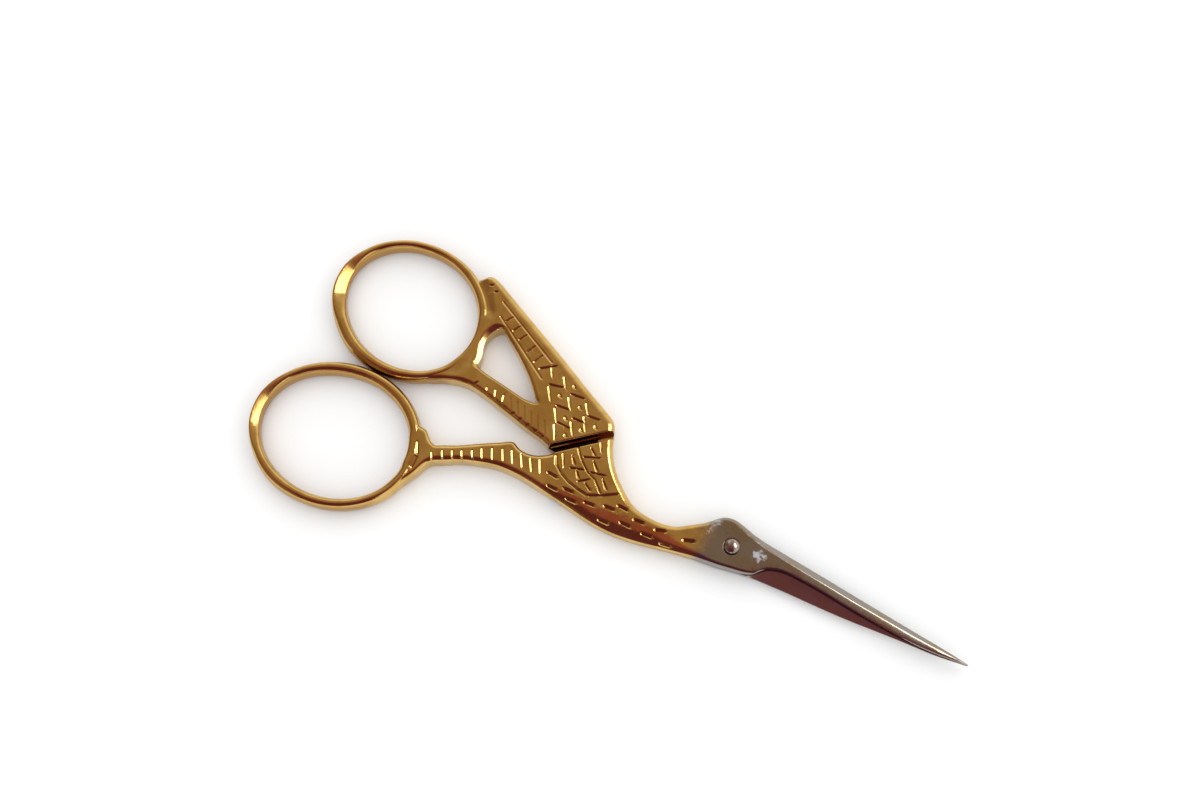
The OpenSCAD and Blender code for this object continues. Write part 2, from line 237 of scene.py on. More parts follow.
# A turn round the hole in degrees, and the wire's borders out from the hole's edge there
FRONT_WIRE = [
    (0, 0.2, 2.15), (40, 0.1, 2.2), (75, -0.1, 1.85), (110, -0.45, 1.6), (140, -0.25, 1.5),
    (180, -0.1, 1.45), (215, -0.3, 1.45), (250, -0.2, 1.85), (285, 0.2, 2), (320, 0.45, 2.15),
]
BACK_WIRE = [
    (0, 0.4, 2.25), (40, 0.2, 2.1), (75, 0.05, 1.85), (115, -0.05, 1.55), (150, 0.15, 1.8),
    (185, 0.3, 2.15), (207, 0, 2.3), (240, -0.35, 2), (270, -0.15, 2.05), (300, 0.15, 2.05),
    (330, 0.5, 2.3),
]


def ring_frame(ring):
    """The middle of a ring's hole, its half length and half width, and its turn in radians."""
    (cx, cy), l, w, tilt = ring
    return np.array((cx, cy)), l, w, math.radians(tilt)


def ring_line(ring, turns, out):
    """Points the distance out from the edge of a ring's hole, at those turns in degrees."""
    centre, l, w, tilt = ring_frame(ring)
    t = np.radians(turns)
    n = np.column_stack([w * np.cos(t), l * np.sin(t)])
    n /= np.linalg.norm(n, axis=1)[:, None]
    q = np.column_stack([l * np.cos(t), w * np.sin(t)]) + n * np.reshape(out, (-1, 1))
    c, s = math.cos(tilt), math.sin(tilt)
    return centre + q @ np.array(((c, s), (-s, c)))


# Each outline runs on inside its ring, this far out from the hole's edge and between these turns
RING_HIDE, FRONT_HIDE, BACK_HIDE = 0.9, (40, -34), (62, -54)
# Where the back half's two steps meet. Straight runs have points about SPACING apart.
STEP_CORNER = np.array((-30, 1))


def front_loop():
    """The front half's outline, and the rows where its full thickness starts and ends."""
    inner = cut(neck, shifted(WING_STEP, STEP_GAP), "before")
    gap = np.linspace(inner[-1], front_leg_up[0], 30)
    hidden = ring_line(FRONT_RING, np.linspace(*FRONT_HIDE, 24), RING_HIDE)
    under = np.vstack([front_leg_low, belly[1:]])
    low, rest = (cut(under, BELLY_STEP, k) for k in ("before", "after"))
    loop, at = joined(
        edged(low, LOWER), edged(rest, LOWER), edged(front_heel, CUT_EDGE), edged(front_spine, SPINE_EDGE),
        edged(inner, UPPER), edged(gap, SHARP), edged(front_leg_up, LEG_EDGE), edged(front_arm_up, ARM),
        edged(hidden, INSIDE),
    )
    return loop, at[6], at[1]


def back_loop():
    """The same for the back half."""
    foot = cut(back_leg_low, WING_STEP, "before")
    rest = cut(belly, shifted(BELLY_STEP, -STEP_GAP), "after")
    over = np.vstack([neck, wing_edge[1:]])
    inner, outer = (cut(over, WING_STEP, k) for k in ("before", "after"))
    hidden = ring_line(BACK_RING, np.linspace(*BACK_HIDE, 30), RING_HIDE)
    loop, at = joined(
        edged(foot, LEG_EDGE), edged(np.linspace(foot[-1], STEP_CORNER, 8), SHARP),
        edged(np.linspace(STEP_CORNER, rest[0], 25), SHARP), edged(rest, LOWER),
        edged(back_spine, SPINE_EDGE), edged(back_heel, CUT_EDGE), edged(inner, UPPER),
        edged(outer, WING_EDGE), edged(hidden, INSIDE),
    )
    return loop, at[7], at[1]


# Graving: each stroke is x, y, x, y, half width at both ends, depth

def strokes(rows, start, end, depth):
    """Strokes from point to point, of one width and depth."""
    return [(*r[:4], start, end, depth) for r in rows]


def dashes(rows, half, start, end, depth):
    """Strokes about a middle point, along an angle in degrees."""
    out = []
    for x, y, a in rows:
        dx, dy = half * math.cos(math.radians(a)), half * math.sin(math.radians(a))
        out.append((x - dx, y - dy, x + dx, y + dy, start, end, depth))
    return out


def chain(points, half, depth):
    """Strokes that follow each other in one line."""
    return [(*a, *b, half, half, depth) for a, b in zip(points, points[1:])]


NECK_MARKS = dashes(
    [(-29.1, -2.8, -4), (-25.8, -3.8, 2), (-28.2, -4.6, 0), (-24.7, -5, 4), (-22, -4.2, 5), (-19, -3.35, 5),
     (-18.9, -5.6, 3), (-17.2, -2.4, -2), (-15.7, -4.5, 2), (-14.1, -3.1, 6), (-12.1, -4.4, 6),
     (-10.6, -2.8, 19), (-9, -4.4, 9), (-6.1, -2.2, 20)],
    0.78, 0.3, 0.36, 0.24)
BREAST_MARKS = (
    chain([(-30.1, 0.15), (-29.5, -1), (-28.2, -1.95), (-26.5, -2.65), (-24.8, -3), (-23.1, -3.2)],
          0.3, 0.2)
    + chain([(-23.1, -3.2), (-21.2, -2.3), (-18.9, -0.8)], 0.26, 0.16)
    + chain([(-27.8, 3), (-27.1, 2.2), (-26.2, 1.3), (-24.65, 0.15), (-23.1, -0.4), (-21.3, -1.95)],
            0.26, 0.2)
    + strokes([(-27.9, 1.4, -27, 0.3), (-26.3, -0.3, -25.4, -1.4), (-24.1, -1.6, -22.9, -2.3),
               (-25.9, 3.8, -24.8, 3), (-24.6, 2.1, -23.3, 0.9), (-22, 0.2, -20.8, -1)], 0.16, 0.34, 0.22)
    + strokes([(-29.3, 0.9, -28.3, -0.7), (-25, 5.2, -24.2, 3.9)], 0.22, 0.16, 0.14)
    + strokes([(-26.3, 2, -24, 3), (-24.2, 0.3, -22, 0.9), (-27.3, -0.5, -25.3, 0.2),
               (-26.6, 4.3, -25.2, 5.4), (-25.3, -1.9, -23.9, -0.8)], 0.2, 0.16, 0.16)
)
WING_MARKS = (
    strokes([(-37.8, 12.75, -36.7, 11.1), (-35.15, 12.05, -34, 10.5), (-36.55, 9.5, -35.15, 7.6),
             (-32.9, 9.4, -31.65, 7.7), (-34, 6.9, -32.6, 4.9), (-30, 9.8, -28.85, 8.3),
             (-29.3, 7.7, -27.9, 5.6), (-30.7, 6, -29.4, 4.2), (-32.8, 4.5, -31.5, 2.25)], 0.24, 0.19, 0.12)
    + strokes([(-39.2, 11.6, -37.1, 13.2), (-36.55, 9.95, -34.5, 10.5), (-32.8, 10.1, -30.7, 10.4),
               (-33.9, 7.4, -31.8, 7.7), (-29, 8.1, -26.9, 8.4), (-30.7, 6.7, -28.7, 6.9),
               (-32.6, 5, -30.4, 5.05)], 0.24, 0.2, 0.16)
    + dashes([(-32.9, 11.35, -40), (-34.2, 9, -40), (-30.5, 8.7, -40), (-31.65, 6.1, -40), (-26.9, 7, -50),
              (-28.6, 5.5, -40), (-30.4, 3.65, -50)], 0.14, 0.34, 0.36, 0.22)
)
TAIL_MARKS = (
    strokes([(-49.8, 18.8, -38, 13.3), (-49, 16.4, -38.2, 10.2)], 0.26, 0.3, 0.12)
    + strokes([(-47.9, 16.1, -47.2, 17.3), (-46.1, 15.2, -45.4, 16.5), (-44.5, 14.3, -43.8, 15.6),
               (-42.4, 13.1, -41.7, 14.6), (-40.6, 12.1, -39.9, 13.7)], 0.2, 0.22, 0.1)
    + strokes([(-53.1, 20.5, -52.7, 20.7), (-51.9, 19.8, -51.5, 20)], 0.26, 0.26, 0.14)
)
COLLAR_MARKS = strokes(
    [(-50.2, -8, -49.3, -9.5), (-49.15, -9.9, -49.05, -11.8), (-49.3, -12.7, -49.9, -14)], 0.38, 0.42, 0.2)
FRONT_LEG_MARKS = COLLAR_MARKS + strokes(
    [(-47.3, -8.35, -46.65, -9.4), (-45.98, -7.35, -45.25, -8.55), (-44.6, -6.65, -43.85, -7.95),
     (-43.3, -5.95, -42.55, -7.25), (-41.9, -5.15, -41.1, -6.6), (-40.75, -4.2, -39.95, -5.6)],
    0.2, 0.23, 0.115) + strokes(
    [(-39.35, -3.4, -38.5, -4.95), (-37.85, -2.8, -36.9, -4.4), (-36.5, -2.3, -35.4, -4.1),
     (-35, -2.1, -33.8, -3.95), (-33.4, -2.1, -32.2, -3.9), (-32, -1.6, -30.9, -3.5)],
    0.2, 0.2, 0.11)
BACK_LEG_MARKS = (
    strokes([(-45, 4.9, -44.75, 4.25), (-43.6, 5.2, -43.15, 4), (-42.05, 5, -41.7, 3.8)], 0.2, 0.24, 0.12)
    + strokes([(-40.9 + 1.3 * k, 5.2 - 0.2 * k, -39.8 + 1.3 * k, 3.4 - 0.22 * k) for k in range(6)],
              0.3, 0.26, 0.05)
    + strokes([(-47, 4.7, -46.8, 5.1), (-39.5, 3.05, -39.2, 3.25), (-38, 2.75, -37.7, 2.95),
               (-36.5, 2.45, -36.2, 2.65), (-35, 2.15, -34.7, 2.35), (-33.6, 1.85, -33.3, 2.05)],
              0.24, 0.24, 0.12)
)


# Each stroke has a broad wall on one side and a steep one on the side that this way points to.
# Its bottom lies up to this share of its half width off its middle, and its border is soft.
STEEP_SIDE, OFF_MIDDLE, SOFT_BORDER = np.array((0.956, -0.294)), 0.45, 0.1


def stroke_axes(x0, y0, x1, y1):
    """A stroke's length, the way along it, the way across it and where its bottom lies."""
    d = np.array((x1 - x0, y1 - y0))
    length = np.linalg.norm(d)
    d /= length
    n = np.array((-d[1], d[0]))
    n *= 1 if n @ STEEP_SIDE >= 0 else -1
    return length, d, n, OFF_MIDDLE * (n @ STEEP_SIDE)


def groove(p, marks):
    """How deep the strokes cut in at each point, and the same as a share of their depth."""
    deep, share = np.zeros(len(p)), np.zeros(len(p))
    for x0, y0, x1, y1, a0, a1, depth in marks:
        length, d, n, low = stroke_axes(x0, y0, x1, y1)
        along = (p - (x0, y0)) @ d
        r = a0 + (a1 - a0) * np.clip(along / length, 0, 1)
        across = (p - (x0, y0)) @ n / r
        beyond = np.maximum(np.maximum(-along, along - length), 0) / r
        s = np.clip(np.minimum((1 + across) / (1 + low), (1 - across) / (1 - low)) - beyond, 0, 1)
        s = s * s / (s + SOFT_BORDER) * (1 + SOFT_BORDER)
        deep, share = np.maximum(deep, depth * s), np.maximum(share, s)
    return deep, share


# The spacing of a stroke's rows of points, and how many half widths they go beyond its ends
STROKE_ROWS, STROKE_OVER = 0.13, 1.15


def stroke_points(marks):
    """Rows of points along and across each stroke, so that the mesh follows it."""
    out = []
    for x0, y0, x1, y1, a0, a1, _ in marks:
        length, d, n, low = stroke_axes(x0, y0, x1, y1)
        for s in np.arange(-STROKE_OVER * a0, length + STROKE_OVER * a1, STROKE_ROWS):
            r = a0 + (a1 - a0) * min(max(s / length, 0), 1)
            for q in (-1.2, -1, -0.85, -0.4, low, (1 + low) / 2, 1, STROKE_OVER):
                out.append(np.array((x0, y0)) + d * s + n * q * r)
    return np.array(out) if out else np.zeros((0, 2))


# Meshes of the flat forged halves

def half_height(x, inset):
    """The height of the flat outer face at each x."""
    neck_share = rise(x, NECK_START, NECK_END)
    body = (BODY_H - inset) * (1 - neck_share) + HEAD_H * neck_share
    blade = HEAD_H + (TIP_H - HEAD_H) * (x - HEAD_END) / (TIP_X - HEAD_END)
    return np.where(x < HEAD_END, body, blade)


# The dip beside a ring: its depth, what the tail adds, and how far out it is full and ends
SINK, TAIL_SINK, SINK_FULL, SINK_END = 0.22, 0.3, 1.5, 3.7


def ring_sink(p, ring):
    """The flat faces dip where they run into a finger ring, most of all at the tail."""
    depth = SINK + TAIL_SINK * rise(p[:, 1], 15, 17)
    centre, l, w, tilt = ring_frame(ring)
    c, s = math.cos(tilt), math.sin(tilt)
    q = (p - centre) @ np.array(((c, -s), (s, c)))
    out = (np.hypot(q[:, 0] / l, q[:, 1] / w) - 1) * (l + w) / 2
    return depth * (1 - rise(out, SINK_FULL, SINK_END))


# How soft a ground facet's inner crease is, as a share of its width
CREASE = 0.25
# How many points are worked out at once, to save memory
BATCH = 500


def edge_fall(p, loops):
    """How far the edges fall at each point, and how far the border is. An edge's flatness makes
    it a quarter circle at 0 and, at 1, a ground facet with a soft inner crease."""
    a = np.vstack(loops)
    b = np.vstack([np.roll(q, -1, 0) for q in loops])
    ab = b[:, :2] - a[:, :2]
    size = np.maximum((ab**2).sum(1), 1e-12)
    fall, near = np.zeros(len(p)), np.zeros(len(p))
    for s in range(0, len(p), BATCH):
        v = p[s : s + BATCH, None] - a[:, :2]
        t = np.clip((v * ab).sum(2) / size, 0, 1)
        d = np.linalg.norm(v - ab * t[..., None], axis=2)
        w, h, f = (a[:, k] + (b[:, k] - a[:, k]) * t for k in (2, 3, 4))
        u = np.clip(1 - d / w, 0, 1)
        rounded = 1 - np.sqrt(1 - u * u)
        ground = u * u / (u + CREASE) * (1 + CREASE)
        fall[s : s + BATCH] = (h * ((1 - f) * rounded + f * ground)).max(1)
        near[s : s + BATCH] = d.min(1)
    return fall, near


def inside(p, loops):
    """Whether each point is inside the first loop and outside the others."""
    odd = np.zeros(len(p), bool)
    for q in loops:
        x0, y0 = q[:, 0], q[:, 1]
        x1, y1 = np.roll(x0, -1), np.roll(y0, -1)
        for s in range(0, len(p), BATCH):
            px, py = p[s : s + BATCH, :1], p[s : s + BATCH, 1:2]
            cross = (y0 > py) != (y1 > py)
            at = x0 + (py - y0) * (x1 - x0) / np.where(y1 == y0, 1e-12, y1 - y0)
            odd[s : s + BATCH] ^= (cross & (px < at)).sum(1) % 2 == 1
    return odd


# The turns at which rows of points follow a rounded edge, and how many edge widths in the last
# row lies
TURNS = np.radians((14, 28, 42, 54, 64, 73, 82, 90))
LAST_ROW = 1.15
# A face's points: the grid's spacing and that of its rows, the cells that keep it off other
# points, and the distance below which two points become one
GRID, GRID_ROW, CELL, MERGE = 0.6, 0.6 * 0.87, 0.22, 0.05
# How far from the border points stay: rows as a share of their own distance, strokes' points,
# the grid, and any point at all
ROW_CLEAR, MARK_CLEAR, GRID_CLEAR, LEAST_CLEAR = 0.88, 0.06, 0.25, 0.015


def border_rows(q):
    """Points inside a border, in rows that follow its rounding."""
    d = np.roll(q[:, :2], -1, 0) - np.roll(q[:, :2], 1, 0)
    n = np.column_stack([-d[:, 1], d[:, 0]]) / np.linalg.norm(d, axis=1)[:, None]
    far = [q[:, 2] * (1 - math.cos(t)) for t in TURNS] + [q[:, 2] * LAST_ROW]
    p = np.vstack([q[:, :2] + n * f[:, None] for f in far])
    return p, np.concatenate(far)


def cells(p, about=0):
    """The numbers of the small cells that hold the points, and of the cells about them."""
    c = np.floor(p / CELL).astype(int)
    around = range(-about, about + 1)
    return np.concatenate([(c + (i, j)) @ (1, 100000) for i in around for j in around])


def sheet(loops, height, extra, rows=True):
    """A face inside the loops: points in rows along the borders, extra points and a grid between,
    joined in triangles, each at its height."""
    own, want = [], []
    if rows:
        for q in loops:
            p, f = border_rows(q)
            own.append(p)
            want.append(f * ROW_CLEAR)
    own.append(extra)
    want.append(np.full(len(extra), MARK_CLEAR))
    # The grid is staggered, and stays off the other points
    lo, hi = loops[0][:, :2].min(0), loops[0][:, :2].max(0)
    gx, gy = np.meshgrid(np.arange(lo[0], hi[0], GRID), np.arange(lo[1], hi[1], GRID_ROW))
    gx[1::2] += GRID / 2
    g = np.column_stack([gx.ravel(), gy.ravel()])
    g = g[~np.isin(cells(g), cells(np.vstack(own), 1))]
    own.append(g)
    want.append(np.full(len(g), GRID_CLEAR))
    # Points outside, near the border or near each other are left out
    p, want = np.vstack(own), np.concatenate(want)
    kept = inside(p, loops)
    p, want = p[kept], want[kept]
    _, near = edge_fall(p, loops)
    p = p[near >= np.maximum(want, LEAST_CLEAR)]
    _, first = np.unique(np.round(p / MERGE).astype(int), axis=0, return_index=True)
    p = p[np.sort(first)]
    # The triangles keep every link between neighbours on the border
    border, links, n = [], [], 0
    for q in loops:
        m = len(q)
        border.append(q[:, :2])
        links += [(n + i, n + (i + 1) % m) for i in range(m)]
        n += m
    flat = np.vstack(border + [p])
    v, _, f, _, _, _ = delaunay_2d_cdt([Vector(c) for c in flat], links, [], 0, 1e-7)
    v, f = np.array([tuple(c) for c in v]), np.array([t for t in f if len(t) == 3])
    f = f[inside(v[f].mean(1), loops)]
    return np.column_stack([v, height(v)]), f


def circle(r, edge=0.06, sides=64):
    """A hole's loop about the pivot, with a rounded edge of that width."""
    t = np.arange(sides) * 2 * math.pi / sides
    return np.column_stack([r * np.cos(t), r * np.sin(t), np.full((sides, 3), (edge, edge * 0.7, 0))])


def wall(line, top, bottom, closed=True):
    """Upright faces along a line of points, from its top heights to its bottom heights."""
    n = len(line)
    v = np.vstack([np.column_stack([line[:, :2], top]), np.column_stack([line[:, :2], bottom])])
    last = n if closed else n - 1
    return v, [(i, i + n, (i + 1) % n + n, (i + 1) % n) for i in range(last)]


# Vertices closer than this, in metres, become one
WELD = 2e-7


class Shell:
    """Vertices and faces that are gathered, then made into one mesh. Each vertex also holds a
    value for the painted shade: how deep it lies in a groove, or the painted shade of a step's gap."""

    def __init__(self):
        self.v, self.f, self.groove = [], [], []
        self.n = 0

    def add(self, v, f, flip=False, share=None):
        self.v.append(np.asarray(v, float))
        self.groove.append(np.zeros(len(v)) if share is None else share)
        self.f += [tuple(int(i) + self.n for i in (t[::-1] if flip else t)) for t in f]
        self.n += len(v)

    def mesh(self, name, turn_over=False, sharp=38):
        v = np.vstack(self.v)
        f = self.f
        if turn_over:
            v[:, 2] *= -1
            f = [t[::-1] for t in f]
        me = bpy.data.meshes.new(name)
        me.from_pydata(((v + PIVOT) * MM).tolist(), [], f)
        layer = me.attributes.new("groove", "FLOAT", "POINT")
        layer.data.foreach_set("value", np.concatenate(self.groove))
        b = bmesh.new()
        b.from_mesh(me)
        bmesh.ops.remove_doubles(b, verts=b.verts, dist=WELD)
        b.to_mesh(me)
        b.free()
        me.shade_smooth()
        me.set_sharp_from_angle(angle=math.radians(sharp))
        o = bpy.data.objects.new(name, me)
        bpy.context.collection.objects.link(o)
        return o


def cyclic(loop, first, last):
    """The rows of a closed loop from first round to last."""
    n = len(loop)
    return loop[[i % n for i in range(first, last + 1 if last >= first else last + n + 1)]]


# The painted shade in the narrow gap beside a step: how far out it starts and ends, where along
# the step it ends, and the groove value that means painted gap shade. The next table gives the rows of
# points that hold its borders.
GAP_SHADE_FROM, GAP_SHADE_TO, GAP_SHADE_END_X, GAP_SHADE_VALUE = 0.12, 1.75, -25.7, 3.0
GAP_SHADE_ROWS = (0.1, 0.15, 0.5, 0.9, 1.3, 1.72, 1.78)


def painted_gap_shade(p, gap):
    """The painted shade value in the narrow gap beside a step, and 0 elsewhere."""
    line, side = gap
    away = side * side_of(p, line) / np.linalg.norm(np.subtract(*line))
    return GAP_SHADE_VALUE * ((away > GAP_SHADE_FROM) & (away < GAP_SHADE_TO) & (p[:, 0] < GAP_SHADE_END_X))


def gap_points(gap):
    """Rows of points along a step, so that the painted gap shade ends cleanly."""
    line, side = gap
    rows = [shifted(line, -side * away) for away in GAP_SHADE_ROWS]
    return np.vstack([np.linspace(a, b, 40) for a, b in rows])


def forged(shell, loop, first, last, holes, ring, insets, marks, hidden_marks, bore, gap, hollow):
    """One half. From row first round to row last it has its full thickness, and the rest is the
    outer layer alone. bore is its radius outside, the depth of its floor, its radius inside and
    the width of its rounded edge. gap is the line of the step and the side on which its narrow
    gap gets painted shade."""
    outer_r, floor, inner_r, bore_edge = bore
    outer_bore, inner_bore = circle(outer_r, bore_edge)[::-1], circle(inner_r)[::-1]

    def full_face(p, loops, cut_marks):
        fall, _ = edge_fall(p, loops)
        deep, share = groove(p, cut_marks)
        return half_height(p[:, 0], insets(p)) - ring_sink(p, ring) - fall - deep, share

    outer_loops = [loop, *holes, outer_bore]
    v, f = sheet(outer_loops, lambda p: full_face(p, outer_loops, marks)[0], stroke_points(marks))
    shell.add(v, f, share=full_face(v[:, :2], outer_loops, marks)[1])

    full = cyclic(loop, first, last)
    rest = cyclic(loop, last, first)
    step = edged(np.linspace(full[-1, :2], full[0, :2], 36), SHARP)
    full_loop = np.vstack([full, step[1:-1]])
    full_loops = [full_loop, *holes]
    v, f = sheet(
        full_loops, lambda p: -full_face(p, full_loops, hidden_marks)[0], stroke_points(hidden_marks))
    shell.add(v, f, flip=True, share=full_face(v[:, :2], full_loops, hidden_marks)[1])

    lap_loops = [np.vstack([rest, step[::-1][1:-1]]), inner_bore]
    v, f = sheet(lap_loops, hollow, gap_points(gap), rows=False)
    # The lap face gets near-black painted shade in the narrow gap beside the step
    shell.add(v, f, flip=True, share=painted_gap_shade(v[:, :2], gap))

    def outer_z(q):
        return full_face(q[:, :2], outer_loops, marks)[0]

    def inner_z(q):
        return -full_face(q[:, :2], full_loops, hidden_marks)[0]

    def level(q):
        return np.full(len(q), GAP)

    def side(line, top, bottom, shaded):
        v, f = wall(line, top, bottom, False)
        share = np.zeros(len(v))
        # The wall's foot gets painted shade where it lies in the gap
        share[len(line) :] = painted_gap_shade(line[:, :2], gap) * shaded
        shell.add(v, f, share=share)

    side(full, outer_z(full), level(full), 0)
    side(full, level(full), inner_z(full), 0)
    side(rest, outer_z(rest), hollow(rest[:, :2]), 1)
    side(step[::-1], inner_z(step[::-1]), level(step), 0)
    for h in holes:
        shell.add(*wall(h, outer_z(h), inner_z(h)))
    shell.add(*wall(outer_bore, outer_z(outer_bore), np.full(len(outer_bore), floor)))
    if outer_r != inner_r:
        n = len(outer_bore)
        v = np.vstack([outer_bore[:, :2], inner_bore[:, :2]])
        shell.add(np.column_stack([v, np.full(2 * n, floor)]),
                  [(i, i + n, (i + 1) % n + n, (i + 1) % n) for i in range(n)])
        shell.add(*wall(inner_bore, np.full(n, floor), hollow(inner_bore[:, :2])))


# Finger rings

# Points round a ring and round its wire, and how many points either side its width is evened over
RING_TURNS, RING_SIDES, SMOOTH = 260, 44, 8
# How square the wire's section is: round at 1, squarer below it, and what its facets take off
ROUNDNESS, WORN_SQUARE, SHOULDER_SQUARE = 0.88, 1.25, 1.2
# Where across the wire the facets start, from -1 at the hole to 1 at the outer side
WORN_START, SHOULDER_START = 0.75, -0.1
# How unevenly the wire was forged, and how many waves that has round the ring
UNEVEN, WAVES = 0.02, (2, 3, 5, 8)


def round_ring(turns, rows, k):
    """The value in column k of the rows at each turn, changing smoothly all the way round."""
    table = np.array(rows)
    v = np.interp(turns, table[:, 0], table[:, k], period=360)
    window = 2 * SMOOTH + 1
    return np.convolve(np.r_[v[-SMOOTH:], v, v[:SMOOTH]], np.full(window, 1 / window), "valid")


def wire_ring(shell, ring, widths, slopes, shoulders, seed):
    """A ring of wire round a hole. widths are rows of a turn in degrees and the wire's two
    borders. The next two are rows of a turn and how much its worn face slopes in or out."""
    turns = np.arange(RING_TURNS) * 360 / RING_TURNS
    start, end = (round_ring(turns, widths, k) for k in (1, 2))
    w = end - start
    slope = np.interp(turns, *np.array(slopes).T, period=360)
    shoulder = np.interp(turns, *np.array(shoulders).T, period=360)
    rng = np.random.default_rng(seed)
    for k in WAVES:
        w = w + UNEVEN * np.cos(np.radians(k * turns) + rng.uniform(0, 6))
    side = np.arange(RING_SIDES) * 2 * math.pi / RING_SIDES
    c, s = np.cos(side), np.sin(side)
    verts = []
    for k in range(RING_TURNS):
        power = ROUNDNESS - WORN_SQUARE * slope[k] - SHOULDER_SQUARE * shoulder[k]
        across = np.sign(c) * np.abs(c) ** power
        up = np.sign(s) * np.abs(s) ** power
        p = ring_line(ring, [turns[k]] * RING_SIDES, start[k] + w[k] / 2 * (1 + across))
        lean_in = slope[k] * np.minimum(across - WORN_START, 0) * w[k] / 2
        lean_out = shoulder[k] * np.maximum(across - SHOULDER_START, 0) * w[k] / 2
        z = up * (RING_H + lean_in - lean_out)
        verts.append(np.column_stack([p, z]))
    f = []
    for k in range(RING_TURNS):
        here, there = k * RING_SIDES, (k + 1) % RING_TURNS * RING_SIDES
        for j in range(RING_SIDES):
            i = (j + 1) % RING_SIDES
            f.append((here + j, here + i, there + i, there + j))
    shell.add(np.vstack(verts), f, flip=True)


# The two halves

def leg_inset(p):
    """How far the front half's flat face lies below the wing's."""
    return LEG_SET + (BREAST_SET - LEG_SET) * rise(p[:, 0], -32, -29)


def back_inset(p):
    """The same for the back half, whose wing isn't set back."""
    along = side_of(p, WING_STEP) / np.linalg.norm(np.subtract(*WING_STEP))
    x, y = p[:, 0], p[:, 1]
    leg = LEG_SET * (1 - rise(y - x * 0.1, 9.5, 12)) * (1 - rise(x, -34, -30))
    return np.where(along > 0, leg, 0) + BREAST_SET * rise(-along, 0, 0.8)


def hollow_of(cut_line, spine_line, depth):
    """The inner face: flat at the head and ground hollow along the blade."""
    def height(p):
        x = p[:, 0]
        cy = np.interp(x, *cut_line[np.argsort(cut_line[:, 0])].T)
        sy = np.interp(x, *spine_line[np.argsort(spine_line[:, 0])].T)
        q = np.clip((p[:, 1] - cy) / np.where(np.abs(sy - cy) < 0.05, 0.05, sy - cy), 0, 1)
        return GAP + depth * np.abs(sy - cy) * q * (1.15 - 0.15 * q) * rise(x, 3, 7)
    return height


# How much a blade's inner face is hollowed, as a share of its width
HOLLOW = 0.165
# The slope of the worn facet on the far side of each ring, and of its shoulder at the collar
WORN_SLOPE, FRONT_SHOULDER, BACK_SHOULDER = 0.48, 0.37, 0.2
# The width of the rounded edge at the staked end's hole, and at the screw seat
STAKED_EDGE, SEAT_EDGE = 0.42, 0.06


def build_front():
    loop, first, last = front_loop()
    s = Shell()
    forged(
        s, loop, first, last, [], FRONT_RING, leg_inset,
        FRONT_LEG_MARKS + BREAST_MARKS + NECK_MARKS, FRONT_LEG_MARKS,
        (THREAD_R, GAP, THREAD_R, STAKED_EDGE), (BELLY_STEP, 1),
        hollow_of(front_heel, front_spine, HOLLOW),
    )
    worn = [(0, 0), (150, 0), (172, WORN_SLOPE), (196, WORN_SLOPE), (222, 0)]
    shoulder = [(0, FRONT_SHOULDER), (20, FRONT_SHOULDER), (27, 0), (352, 0), (358, FRONT_SHOULDER)]
    wire_ring(s, FRONT_RING, FRONT_WIRE, worn, shoulder, 3)
    return s.mesh("front_half_gilt")


def build_back():
    loop, first, last = back_loop()
    sides = ((hypotenuse, HOLE_EDGE), (triangle_foot, HOLE_EDGE), (triangle_side, COLLAR_EDGE))
    hole, _ = joined(*(edged(c, rows) for c, rows in sides))
    back_marks = WING_MARKS + TAIL_MARKS + BACK_LEG_MARKS
    s = Shell()
    forged(
        s, loop, first, last, [hole], BACK_RING, back_inset,
        back_marks + BREAST_MARKS + NECK_MARKS, back_marks,
        (SEAT_R, SEAT_FLOOR, BORE_R, SEAT_EDGE), (WING_STEP, -1),
        hollow_of(back_heel, back_spine, HOLLOW),
    )
    worn = [(0, 0), (168, 0), (188, WORN_SLOPE), (212, WORN_SLOPE), (236, 0)]
    shoulder = [(0, BACK_SHOULDER), (34, BACK_SHOULDER), (42, 0), (340, 0), (352, BACK_SHOULDER)]
    wire_ring(s, BACK_RING, BACK_WIRE, worn, shoulder, 5)
    return s.mesh("back_half_gilt", turn_over=True)


front = build_front()
back = build_back()


# The screw

SHANK_R, SCREW_THREAD_R, SCREW_HEAD_R = 1.3, 1.0, 2.2
# The heights of the head's two sides, of the shank's end and of the dome's lower side
HEAD_LOW, HEAD_TOP, SHOULDER, DOME_Z = -1.62, -0.92, 0.03, 1.42
# The rounded rim of the head, and how far its slotted side bulges in the middle
RIM_R, BULGE = 0.18, 0.03
PITCH, THREAD_DEPTH = 0.2, 0.12
# The dome's radius, its height and the upright lip at its foot
DOME_R, DOME_H, DOME_LIP = 1.2, 0.8, 0.05
SLOT_W, SLOT_DEPTH = 0.6, 0.35
# How many sides the screw has, and the angle in degrees above which an edge is sharp
SCREW_SIDES, SCREW_CREASE = 72, 30
# Small dents that the hammer left round the dome
DENTS, DENT_DEPTH = 7, 0.035


